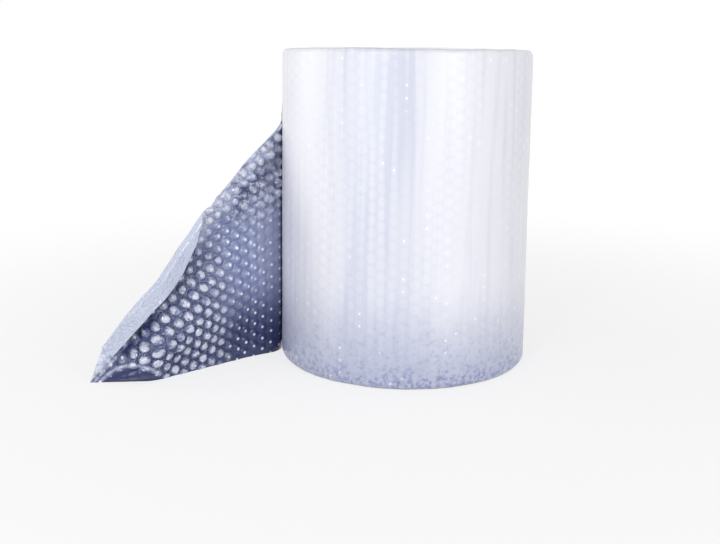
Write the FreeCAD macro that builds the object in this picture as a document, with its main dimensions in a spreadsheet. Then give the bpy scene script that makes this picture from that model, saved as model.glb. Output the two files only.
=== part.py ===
import FreeCAD, Part
import math
import os

# An air bubble film roll, standing on end: one web of film wound on itself, with no core, and its slanting loose end.
# Millimetres, +Z up. The origin is on the roll's axis, in the plane of the end that it stands on.
# The web winds outward counter-clockwise, flat side out and bubbles in, and its loose end leaves at the left.

Vector = FreeCAD.Vector
doc = FreeCAD.newDocument("bubble_film_roll")

# Driving sizes
SIZES = [
    ("web_width", 300, "width of the film, so the height of the roll"),
    ("roll_diameter", 244, "outside diameter, the mean over the last turn"),
    ("hole_diameter", 50, "open winding hole"),
    ("turn_pitch", 4.6, "film to film, one turn to the next"),
    ("groove_width", 1.2, "gap between two turns at the ends of the roll, where the film's edges are loose"),
    ("groove_depth", 12, "depth at which the turns press on each other and the gap has closed"),
    ("chord_rise", 1.2, "rise of the chords that draw the gap between the turns"),
    ("start_angle", 40, "turn over which the film's first edge thins to nothing"),
    ("leave_angle", 150, "direction at which the loose end leaves the roll"),
    ("film_thickness", 1.0, "plain film between the bubbles of the loose end"),
    ("end_inset", 0.3, "loose end's flat side, inside the last turn's outer wall"),
    ("root_length", 3.0, "loose end's root inside the last turn"),
    ("bubble_pitch", 11.2, "bubble to bubble along a row"),
    ("bubble_rise", 2.9, "bubble top above the film"),
    ("bubble_top", 6.6, "width of a bubble's top across its corners"),
    ("near_radius", 140, "loose end's slack curve beside the roll"),
    ("near_turn", 27, "degrees turned along the slack curve"),
    ("bend_radius", 18, "bend away from the roll"),
    ("bend_turn", 44, "degrees turned at that bend"),
    ("run_length", 125, "straight run along the floor"),
    ("toe_radius", 20, "second bend, before the tip"),
    ("toe_turn", 37, "degrees turned at the second bend"),
    ("toe_length", 49, "last straight run to the tip"),
    ("brow_along", 140, "place on the slanting edge where it grows steeper"),
    ("brow_height", 164, "height of that place"),
    ("tip_height", 32, "height at which the slanting edge drops to the tip"),
    ("tip_setback", 11.7, "how far that place stands back from the tip"),
    ("curl_start", 158, "distance along the floor at which the edge starts to curl to the front"),
    ("curl_radius", 4, "outside radius of the curled edge"),
    ("curl_width", 27, "film in the curled edge at its widest"),
    ("curl_least", 3, "film in the curled edge at its two ends"),
    ("curl_growth", 60, "distance over which the curl grows from its upper end"),
    ("curl_fall", 30, "distance over which it narrows to the tip"),
    ("ridge_height", 10, "fold that runs from the tip, towards the front"),
    ("valley_depth", 7, "fold beside the curled edge, towards the back"),
    ("lobe_height", 5, "small fold at the tip's floor edge"),
    ("ridge_lift", 26, "degrees above the floor at which the ridge leaves the tip"),
    ("ridge_spread", 22, "degrees from the ridge to its foot"),
    ("valley_lift", 45, "degrees above the floor at which the valley leaves the tip"),
    ("valley_spread", 15, "degrees from the valley to its edge"),
    ("lobe_lift", 9, "degrees above the floor of the lobe's middle, and from there to its edge"),
    ("lobe_away", 45, "the lobe's distance from the tip"),
    ("lobe_reach", 40, "the lobe's half length along the film"),
    ("fold_rise", 60, "distance from the tip at which the folds have grown to their full height"),
    ("fold_full", 110, "distance from the tip up to which they keep it"),
    ("fold_length", 230, "distance from the tip at which they have died away"),
]
sheet = doc.addObject("Spreadsheet::Sheet", "sizes")
for row, (name, value, note) in enumerate(SIZES, start=1):
    sheet.set("A%d" % row, name)
    sheet.set("B%d" % row, str(value))
    sheet.set("C%d" % row, note)
    sheet.setAlias("B%d" % row, name)
doc.recompute()
mm = {name: float(sheet.get(name)) for name, value, note in SIZES}

START_CHORDS = 6  # chords over the film's thinned first edge

# Wound turns
hole_radius = mm["hole_diameter"] / 2
end_radius = mm["roll_diameter"] / 2 + mm["turn_pitch"] / 2
leave = math.radians(mm["leave_angle"])
full = 2 * math.pi
# Angle wound from the place where the film's outer wall is one turn's thickness off the hole
wound = (end_radius - hole_radius - mm["turn_pitch"]) / mm["turn_pitch"] * full
ramp = math.radians(mm["start_angle"])


def polar(radius, angle, up=0.0):
    return Vector(radius * math.cos(leave + angle), radius * math.sin(leave + angle), up)


def wall(angle):
    """Radius of the film's outer wall, at an angle counted from the leaving place."""
    run = wound + angle
    if run < 0:
        return hole_radius + mm["turn_pitch"] * (1 + run / ramp)
    return end_radius + mm["turn_pitch"] * angle / full


def chord_angles(first, last):
    """Angles along the spiral, thinning in at the start, whose chords then all rise about the same."""
    angles = [first + (-wound - first) * k / START_CHORDS for k in range(START_CHORDS + 1)]
    while True:
        step = 2 * math.acos(1 - mm["chord_rise"] / wall(angles[-1]))
        if angles[-1] + 1.5 * step > last:
            return angles + [last]
        angles.append(angles[-1] + step)


class Mesh:
    """Points and triangles of a closed polyhedron, with points at one place kept once."""

    def __init__(self):
        self.points, self.index, self.triangles = [], {}, []

    def point(self, key, make):
        if key not in self.index:
            self.index[key] = len(self.points)
            self.points.append(make())
        return self.index[key]

    def fan(self, ring, turned=False):
        for k in range(1, len(ring) - 1):
            t = (ring[0], ring[k], ring[k + 1])
            self.triangles.append(t[::-1] if turned else t)

    def strip(self, one, other):
        """Two triangles between an edge and the next one."""
        self.triangles += [(one[0], one[1], other[1]), (one[0], other[1], other[0])]

    def solid(self):
        shell = Part.Shape()
        shell.makeShapeFromMesh((self.points, self.triangles), 0.001, True)
        solid = Part.Solid(Part.Shell(shell.Faces))
        if solid.Volume < 0:
            solid.reverse()
        return solid


def last_turn_outline():
    """Outline of the roll seen from above: one turn of the spiral in quarter arcs, and its step."""
    edges = []
    for quarter in range(4):
        a, b, c = (-full + (quarter + k) * full / 4 for k in (0, 0.5, 1))
        edges.append(Part.Arc(polar(wall(a), a), polar(wall(b), b), polar(wall(c), c)).toShape())
    edges.append(Part.LineSegment(polar(end_radius, 0), polar(wall(-full), 0)).toShape())
    return Part.Wire(edges)


def turn_groove(end, inward):
    """V-shaped groove along the spiral gap in one end of the roll, with its mouth in the end's plane."""
    mesh = Mesh()
    half = mm["groove_width"] / 2
    # off the spiral's line and off the end: the mouth's two edges, the bottom, and straight up outside
    section = [
        (-half, 0.0),
        (0.0, mm["groove_depth"] * inward),
        (half, 0.0),
        (half, -OUTSIDE * inward),
        (-half, -OUTSIDE * inward),
    ]
    # it starts in the open hole and runs out past the step
    angles = chord_angles(-wound - 1.3 * ramp, -full + mm["groove_width"] / end_radius)
    rows = []
    for k, angle in enumerate(angles):
        middle = wall(angle)
        rows.append(
            [
                mesh.point((k, n), lambda: polar(middle + off, angle, end + up))
                for n, (off, up) in enumerate(section)
            ]
        )
    for one, other in zip(rows, rows[1:]):
        for k in range(len(section)):
            n = (k + 1) % len(section)
            mesh.strip((one[k], one[n]), (other[k], other[n]))
    mesh.fan(rows[0], turned=True)
    mesh.fan(rows[-1])
    return mesh.solid()


OUTSIDE = 2.0  # how far a cutting shape stands out of the face that it cuts

outline = doc.addObject("Part::Feature", "roll_outline")
outline.Shape = Part.Face(last_turn_outline())
roll = doc.addObject("Part::Extrusion", "roll_block")
roll.Base = outline
roll.DirMode = "Custom"
roll.Dir = Vector(0, 0, 1)
roll.Solid = True
roll.setExpression("LengthFwd", "sizes.web_width")

hole = doc.addObject("Part::Cylinder", "winding_hole")
hole.setExpression("Radius", "sizes.hole_diameter / 2")
hole.setExpression("Height", "sizes.web_width")

top_groove = doc.addObject("Part::Feature", "top_groove")
top_groove.Shape = turn_groove(mm["web_width"], -1)
base_groove = doc.addObject("Part::Feature", "base_groove")
base_groove.Shape = turn_groove(0.0, 1)

holed = doc.addObject("Part::Cut", "holed_roll")
holed.Base, holed.Tool = roll, hole
topped = doc.addObject("Part::Cut", "grooved_roll")
topped.Base, topped.Tool = holed, top_groove
turns = doc.addObject("Part::Cut", "wound_turns")
turns.Base, turns.Tool = topped, base_groove
for cut in (holed, topped, turns):
    cut.Refine = False

# Route of the loose end along the floor: (radius, degrees) turning left, or right if negative, and straight runs
leave_heading = mm["leave_angle"] + 90
ROUTE = [
    ("turn", mm["near_radius"], mm["near_turn"]),
    ("turn", mm["bend_radius"], -mm["bend_turn"]),
    ("run", mm["run_length"], 0),
    ("turn", mm["toe_radius"], -mm["toe_turn"]),
    ("run", mm["toe_length"], 0),
]


def stretch(kind, amount, degrees):
    return amount if kind == "run" else amount * math.radians(abs(degrees))


end_length = sum(stretch(*piece) for piece in ROUTE)


def route(along):
    """Point and heading of the web's flat side, at a distance along the floor from the leaving place."""
    heading = math.radians(leave_heading)
    start = end_radius - mm["end_inset"]
    x, y = start * math.cos(leave), start * math.sin(leave)
    for kind, amount, degrees in ROUTE:
        reach = min(along, stretch(kind, amount, degrees))
        if kind == "run" or reach < 0:
            x, y = x + reach * math.cos(heading), y + reach * math.sin(heading)
        else:
            side = math.copysign(1, degrees)
            turned = side * reach / amount
            cx, cy = x - side * amount * math.sin(heading), y + side * amount * math.cos(heading)
            heading += turned
            x, y = cx + side * amount * math.sin(heading), cy - side * amount * math.cos(heading)
        along -= reach
        if along <= 0:
            break
    return x, y, heading


def window(value, middle, half):
    """A smooth bump, 1 at the middle and 0 a half width away."""
    share = (value - middle) / half
    return math.cos(share * math.pi / 2) ** 2 if abs(share) < 1 else 0.0


def fold(along, up):
    """How far the folds that fan out from the tip bring the web to the front."""
    back, up = end_length - along, max(up, 0.0)
    away = math.hypot(back, up)
    lift = math.degrees(math.atan2(up, back))
    near = min(1.0, away / mm["fold_rise"])
    near *= window(max(away, mm["fold_full"]), mm["fold_full"], mm["fold_length"] - mm["fold_full"])
    ridge = mm["ridge_height"] * window(lift, mm["ridge_lift"], mm["ridge_spread"])
    valley = mm["valley_depth"] * window(lift, mm["valley_lift"], mm["valley_spread"])
    lobe = mm["lobe_height"] * window(lift, mm["lobe_lift"], mm["lobe_lift"])
    lobe *= window(away, mm["lobe_away"], mm["lobe_reach"])
    return near * (ridge - valley) + lobe


def place(along, up, off):
    """Point of the loose end: off is measured from its flat side towards its bubbles."""
    x, y, heading = route(along)
    off += fold(along, up)
    return Vector(x - off * math.sin(heading), y + off * math.cos(heading), up)


# Outline of the loose end laid flat, as lines that it lies below: a, b and c in a * along + b * up <= c
tip_along = end_length - mm["tip_setback"]
upper_slant = (mm["web_width"] - mm["brow_height"]) / mm["brow_along"]
slant = (mm["brow_height"] - mm["tip_height"]) / (tip_along - mm["brow_along"])
LINES = [
    (-1, 0, mm["root_length"]),
    (0, -1, 0),
    (0, 1, mm["web_width"]),
    (upper_slant, 1, mm["web_width"]),
    (slant, 1, mm["tip_height"] + slant * tip_along),
    (mm["tip_height"], mm["tip_setback"], mm["tip_height"] * end_length),
]
SNAP = mm["bubble_pitch"] / 16  # a lattice corner this near to an edge lies on it
CURL_STEPS = 5  # facets round the curled edge


def beyond(line, point):
    a, b, c = line
    return (a * point[0] + b * point[1] - c) / math.hypot(a, b)


def snapped(point):
    """A corner of the lattice, moved onto an edge of the web that passes close by."""
    for line in LINES:
        over = beyond(line, point)
        if abs(over) < SNAP:
            n = math.hypot(line[0], line[1])
            point = (point[0] - over * line[0] / n, point[1] - over * line[1] / n)
    return point


def clipped(corners, line):
    """The part of a convex outline that lies inside one line."""
    kept = []
    for k, p in enumerate(corners):
        q = corners[(k + 1) % len(corners)]
        dp, dq = beyond(line, p), beyond(line, q)
        if dp <= 1e-6:
            kept.append(p)
        if (dp < -1e-6 and dq > 1e-6) or (dp > 1e-6 and dq < -1e-6):
            share = dp / (dp - dq)
            kept.append((p[0] + share * (q[0] - p[0]), p[1] + share * (q[1] - p[1])))
    return kept


def cells():
    """Outline of each bubble's cell on the flat web: rows run up it, each half a pitch off the next."""
    pitch = mm["bubble_pitch"]
    column, corner = pitch * math.sqrt(3) / 2, pitch / math.sqrt(3)
    for i in range(-2, int(end_length / column) + 2):
        for j in range(-1, int(mm["web_width"] / pitch) + 2):
            middle = ((i + 0.5) * column, (j + 0.5 * (i % 2)) * pitch)
            ring = [
                (
                    middle[0] + corner * math.cos(k * math.pi / 3),
                    middle[1] + corner * math.sin(k * math.pi / 3),
                )
                for k in range(6)
            ]
            ring = [snapped(p) for p in ring]
            whole = all(beyond(line, p) <= 1e-6 for line in LINES for p in ring)
            for line in LINES:
                ring = clipped(ring, line)
            yield middle, ring, whole and min(p[0] for p in ring) > 0


def area(ring):
    pairs = zip(ring, ring[1:] + ring[:1])
    return sum(p[0] * q[1] - q[0] * p[1] for p, q in pairs) / 2


def eased(share):
    return math.sin(math.pi / 2 * min(1.0, max(0.0, share)))


def curl(along):
    """Film beyond the fold line of the curled edge, at a distance along the floor."""
    grown = eased((along - mm["curl_start"]) / mm["curl_growth"])
    fallen = eased((end_length - along) / mm["curl_fall"])
    return mm["curl_least"] + (mm["curl_width"] - mm["curl_least"]) * grown * fallen


def curled(along, up, film, radius):
    """Point of the curled edge: film is the distance round it, radius its outside or inside one."""
    x, y, heading = route(along)
    off = fold(along, up) + mm["curl_radius"]
    n = math.hypot(slant, 1)
    front = Vector(-math.sin(heading), math.cos(heading), 0)
    out = Vector(math.cos(heading) * slant / n, math.sin(heading) * slant / n, 1 / n)
    turn = min(film / mm["curl_radius"], math.pi)
    rest = film - turn * mm["curl_radius"]
    middle = Vector(x, y, up) + front * off
    return middle + out * (radius * math.sin(turn) - rest) - front * (radius * math.cos(turn))


def rounded(p):
    return (round(p[0], 4), round(p[1], 4))


def loose_end():
    film, rise = mm["film_thickness"], mm["bubble_rise"]
    mesh, uses = Mesh(), {}
    top_share = mm["bubble_top"] / (2 * mm["bubble_pitch"] / math.sqrt(3))

    def at(p, side):
        return mesh.point((rounded(p), side), lambda: place(p[0], p[1], film if side == "front" else 0.0))

    for middle, ring, bubble in cells():
        if len(ring) < 3 or area(ring) < 1:
            continue
        front = [at(p, "front") for p in ring]
        mesh.fan([at(p, "back") for p in ring])
        for k, p in enumerate(ring):
            uses[rounded(p), rounded(ring[(k + 1) % len(ring)])] = True
        if not bubble:
            mesh.fan(front, turned=True)
            continue
        # a stud with a three-cornered top over every other corner of its cell
        tops = []
        for p in ring[::2]:
            t = tuple(middle[n] + top_share * (p[n] - middle[n]) for n in (0, 1))
            tops.append(mesh.point((rounded(t), "top"), lambda: place(t[0], t[1], film + rise)))
        mesh.fan(tops, turned=True)
        for k in range(3):
            before, at_corner, after = front[2 * k - 1], front[2 * k], front[2 * k + 1]
            mesh.triangles += [
                (tops[k], at_corner, before),
                (tops[k], after, at_corner),
                (tops[k], tops[(k + 1) % 3], after),
            ]

    # round the edge: plain, or carried on into the curl
    hems = []
    for p, q in uses:
        if (q, p) in uses:
            continue
        on_slant = any(max(abs(beyond(line, p)), abs(beyond(line, q))) < 1e-3 for line in LINES[4:])
        if on_slant and min(p[0], q[0]) >= mm["curl_start"]:
            hems.append((p, q))
        else:
            mesh.strip((at(p, "back"), at(p, "front")), (at(q, "back"), at(q, "front")))
    rows = {}
    for end in {end for hem in hems for end in hem}:
        rows[end] = [(at(end, "back"), at(end, "front"))]
        for k in range(1, CURL_STEPS + 1):
            part = curl(end[0]) * k / CURL_STEPS
            rows[end].append(
                tuple(
                    mesh.point((end, side, k), lambda: curled(end[0], end[1], part, radius))
                    for side, radius in (
                        ("back", mm["curl_radius"]),
                        ("front", mm["curl_radius"] - film),
                    )
                )
            )
    for p, q in hems:
        for (pb, pf), (nb, nf), (qb, qf), (mb, mf) in zip(rows[p], rows[p][1:], rows[q], rows[q][1:]):
            mesh.triangles += [(pb, nb, mb), (pb, mb, qb), (pf, mf, nf), (pf, qf, mf)]
        mesh.strip(rows[p][-1], rows[q][-1])
    # the curl's two side ends
    for side, ends in ((1, {p for p, q in hems} - {q for p, q in hems}), (-1, {q for p, q in hems} - {p for p, q in hems})):
        for end in ends:
            for (b, f), (nb, nf) in zip(rows[end], rows[end][1:]):
                mesh.triangles += [(nb, b, f)[::side], (nb, f, nf)[::side]]
    return mesh.solid()


end = doc.addObject("Part::Feature", "loose_end")
end.Shape = loose_end()
end.Placement = FreeCAD.Placement()

film = doc.addObject("Part::Fuse", "bubble_film")
film.Base = turns
film.Tool = end
film.Refine = False
film.Label = "bubble_film"
film.Placement = FreeCAD.Placement()

# Check every object, then write the one piece
doc.recompute()
for item in doc.Objects:
    if "Invalid" in item.State or "Error" in item.State:
        raise RuntimeError("%s failed: %s" % (item.Label, item.State))
if film.Shape.isNull() or not film.Shape.isValid():
    raise RuntimeError("%s has no valid shape" % film.Label)
if len(film.Shape.Solids) != 1:
    raise RuntimeError("the film is %d solids" % len(film.Shape.Solids))
os.makedirs("parts", exist_ok=True)
film.Shape.exportStep("parts/%s.step" % film.Label)
print("turns %.1f, film wound %.1f m" % (wound / full, wound / full * math.pi * (hole_radius + end_radius) / 1000))
print("loose end %.0f mm along the floor" % end_length)
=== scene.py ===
import math

import bmesh
import bpy
from bpy.props import FloatProperty, FloatVectorProperty, PointerProperty
from mathutils import Matrix, Vector, noise


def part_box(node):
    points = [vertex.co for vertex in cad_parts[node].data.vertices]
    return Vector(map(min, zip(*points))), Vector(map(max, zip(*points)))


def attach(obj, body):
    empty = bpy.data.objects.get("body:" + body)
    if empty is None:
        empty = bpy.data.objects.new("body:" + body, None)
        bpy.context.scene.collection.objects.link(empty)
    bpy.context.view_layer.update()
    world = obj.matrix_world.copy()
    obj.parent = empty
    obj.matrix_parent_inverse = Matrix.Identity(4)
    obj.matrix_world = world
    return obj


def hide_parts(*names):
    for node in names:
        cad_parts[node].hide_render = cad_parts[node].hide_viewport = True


bl_info = {
    "name": "Bubble film roll",
    "version": (1, 0, 0),
    "blender": (4, 5, 0),
    "location": "3D View > Sidebar > Film roll",
    "description": "Builds a roll of air bubble film with its slanting loose end",
    "category": "Object",
}

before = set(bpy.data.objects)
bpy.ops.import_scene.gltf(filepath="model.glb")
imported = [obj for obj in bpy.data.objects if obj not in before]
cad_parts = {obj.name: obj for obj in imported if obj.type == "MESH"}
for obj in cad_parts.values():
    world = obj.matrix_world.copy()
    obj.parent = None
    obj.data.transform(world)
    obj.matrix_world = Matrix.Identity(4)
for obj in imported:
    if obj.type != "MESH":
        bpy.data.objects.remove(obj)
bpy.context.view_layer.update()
NODE = "bubble_film"
WEB_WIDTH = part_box(NODE)[1][2]

# Winding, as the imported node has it: metres, angles counted from the place where the loose end leaves
HOLE = 0.025
PITCH = 0.0046
OUTER = 0.1243
LEAVE = math.radians(150)
FULL = 2 * math.pi
WOUND = (OUTER - HOLE - PITCH) / PITCH * FULL
RAMP = math.radians(40)
STEPS = 240
# The loose end's way over the floor: (radius, degrees to the left) or a straight run
ROUTE = [(0.140, 27), (0.018, -44), (0.125, 0), (0.020, -37), (0.049, 0)]
BROW = (0.140, 0.164)
# The loose end starts a little way inside the roll's last turn, just under its face
TUCKED, SUNK = 0.0015, 0.00005
TIP_HEIGHT, TIP_BACK = 0.032, 0.0117
CURL_START, CURL_LEAST, CURL_GROWTH, CURL_TIGHTENS = 0.149, 0.003, 0.046, 0.030


def stretch(radius, degrees):
    return radius * math.radians(abs(degrees)) if degrees else radius


END_LENGTH = sum(stretch(*piece) for piece in ROUTE)
TIP_ALONG = END_LENGTH - TIP_BACK
UPPER_SLANT = (WEB_WIDTH - BROW[1]) / BROW[0]
SLANT = (BROW[1] - TIP_HEIGHT) / (TIP_ALONG - BROW[0])
SLANT_LENGTH = math.hypot(SLANT, 1)


class FilmSizes(bpy.types.PropertyGroup):
    bubble_pitch: FloatProperty(
        name="Bubble pitch", description="Bubble to bubble along a row",
        default=0.0112, unit="LENGTH",
    )
    bubble_width: FloatProperty(
        name="Bubble width", description="Width of one bubble at its foot",
        default=0.0101, unit="LENGTH",
    )
    bubble_height: FloatProperty(
        name="Bubble height", description="Height of one bubble above the film",
        default=0.0034, unit="LENGTH",
    )
    film_thickness: FloatProperty(
        name="Film thickness", description="Thickness of the film between the bubbles",
        default=0.0006, unit="LENGTH",
    )
    curl_radius: FloatProperty(
        name="Curl radius", description="Radius of the loose end's curled edge",
        default=0.004, unit="LENGTH",
    )
    curl_width: FloatProperty(
        name="Curl width", description="Film in the curled edge at its widest",
        default=0.0246, unit="LENGTH",
    )
    crumple: FloatProperty(
        name="Crumple", description="How far the small creases lift the loose end",
        default=0.0016, unit="LENGTH",
    )
    slack_edges: FloatProperty(
        name="Slack edges", description="How unevenly the turns' edges stand at both ends of the roll",
        default=0.0012, unit="LENGTH",
    )


class FilmColours(bpy.types.PropertyGroup):
    wound: FloatVectorProperty(
        name="Wound film", description="Colour of the film where it is wound many turns thick",
        subtype="COLOR", default=(0.84, 0.84, 0.89), min=0, max=1,
    )
    # painted shade: the wound film's colour between the bubbles and on the greyer stretch at the front
    wound_shade: FloatVectorProperty(
        name="Wound film's shade", description="Colour between the bubbles of the wound film",
        subtype="COLOR", default=(0.66, 0.68, 0.78), min=0, max=1,
    )
    # painted shade: the wound film darkens to this colour towards the floor
    wound_low_shade: FloatVectorProperty(
        name="Wound film, low", description="Colour of the wound film towards the floor",
        subtype="COLOR", default=(0.43, 0.46, 0.61), min=0, max=1,
    )
    # painted shade: dark spots along the roll's lowest part and its lowest edge
    wound_rim_shade: FloatVectorProperty(
        name="Lowest edge", description="Colour of the dark spots on the roll's lowest edge",
        subtype="COLOR", default=(0.20, 0.23, 0.45), min=0, max=1,
    )
    # painted shade deep in the gaps between the turns
    edge_shade: FloatVectorProperty(
        name="Gaps between the turns", description="Colour deep between two turns at the roll's ends",
        subtype="COLOR", default=(0.36, 0.37, 0.48), min=0, max=1,
    )
    single: FloatVectorProperty(
        name="Single film", description="Colour of the loose end's single layer",
        subtype="COLOR", default=(0.205, 0.245, 0.43), min=0, max=1,
    )
    # painted shade: the single film's deep blue low down, between the bubbles, in the curl's shadow and in the
    # rumpled patches
    single_shade: FloatVectorProperty(
        name="Single film, low", description="Colour of the single layer near the floor",
        subtype="COLOR", default=(0.028, 0.038, 0.125), min=0, max=1,
    )
    # painted highlights: the bright caps of the bubbles, the light patches on the rumpled film and the small glints
    cap_highlight: FloatVectorProperty(
        name="Bubble caps", description="Colour of the bubbles' tops",
        subtype="COLOR", default=(0.84, 0.86, 0.95), min=0, max=1,
    )
    # painted light: the paler crest and ridges of the single film and the bright lines along its creases; also the
    # paler rounds of the bubbles seen from behind
    crest: FloatVectorProperty(
        name="Crest", description="Colour of the film along the upper slanting edge",
        subtype="COLOR", default=(0.56, 0.59, 0.74), min=0, max=1,
    )
    flat_side: FloatVectorProperty(
        name="Flat side", description="Colour of the curled edge's flat side",
        subtype="COLOR", default=(0.70, 0.74, 0.86), min=0, max=1,
    )


class StageSettings(bpy.types.PropertyGroup):
    floor: FloatVectorProperty(
        name="Floor", description="Colour of the floor",
        subtype="COLOR", default=(0.90, 0.90, 0.91), min=0, max=1,
    )
    key: FloatProperty(name="Key lamp", description="Power of the tall lamp at the front right", default=12.0)
    side: FloatProperty(name="Side lamp", description="Power of the tall lamp at the left", default=6.2)
    glint: FloatProperty(
        name="Glint lamp", description="Power of the small lamp that gives each bubble its glint", default=4.0,
    )
    front: FloatProperty(
        name="Front lamp", description="Power of the wide lamp at the front left", default=10.0,
    )
    sky: FloatProperty(name="Sky", description="Strength of the even light from all round", default=0.50)


def piece_from(mesh, name):
    """A new object of a finished bmesh, with everything else deselected."""
    for item in bpy.context.selected_objects:
        item.select_set(False)
    data = bpy.data.meshes.new(name)
    mesh.to_mesh(data)
    mesh.free()
    piece = bpy.data.objects.new(name, data)
    bpy.context.scene.collection.objects.link(piece)
    bpy.context.view_layer.objects.active = piece
    piece.select_set(True)
    return piece


def window(value, middle, half):
    share = (value - middle) / half
    return math.cos(share * math.pi / 2) ** 2 if abs(share) < 1 else 0.0


def smooth(value, low, high):
    share = min(1.0, max(0.0, (value - low) / (high - low)))
    return share * share * (3 - 2 * share)


# ---------------------------------------------------------------- wound turns


def wall(angle):
    """Radius of the film's outer wall at an angle counted from the leaving place."""
    run = WOUND + angle
    if run < 0:
        return HOLE + PITCH * (1 + run / RAMP)
    return OUTER + PITCH * angle / FULL


def film_length(angle):
    """Film between an angle of the winding and the leaving place."""
    return angle * (OUTER + PITCH * angle / (2 * FULL))


def turned(radius, angle, up):
    return Vector((radius * math.cos(LEAVE + angle), radius * math.sin(LEAVE + angle), up))


# Across one turn from its film inwards: share of the turn, and how far it stands back from the film's edge
TURN_SECTION = [(0.0, 0.0), (0.09, 0.0), (0.14, 1.0), (0.40, 0.45), (0.66, 0.5), (0.93, 1.0)]
GAP_DEPTH = 0.0038
# Rows of points up the roll's wall, as shares of its height, closer together near both ends
WALL_ROWS = [0.0, 0.005, 0.011] + [k / 60 for k in range(1, 60)] + [0.989, 0.995, 1.0]
# How far the last turn's film bends in at both ends of the roll, and over what height
BEND_IN, BEND_HEIGHT = 0.0026, 0.0045
# How far the hole's wall stands back from the roll's base and from its top
BORE_INSETS = (0.0013, 0.001)
# Least height of the film's lower edges over the floor
CLEAR_OF_FLOOR = 0.0003
# Points nearer than this are one point, and a length shorter than this is none
TINY = 1e-6


def slack(angle, end, sizes):
    """How far the film's edge stands from the plane of one end of the roll."""
    s = film_length(angle)
    wave = noise.noise(Vector((s * 9, 3.1 * end, angle / FULL * 0.37)))
    ripple = noise.noise(Vector((s * 38, 7.7 * end, angle / FULL * 1.9)))
    return sizes.slack_edges * (wave + 0.5 * ripple)


def bend(angle, from_end):
    """How far the last turn's film stands in from its wall near the ends of the roll."""
    share = max(0.0, 1 - from_end / BEND_HEIGHT) ** 2
    return BEND_IN * share * smooth(-angle, 0.02, 0.40) * smooth(FULL + angle, 0.0, 0.40)


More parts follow.
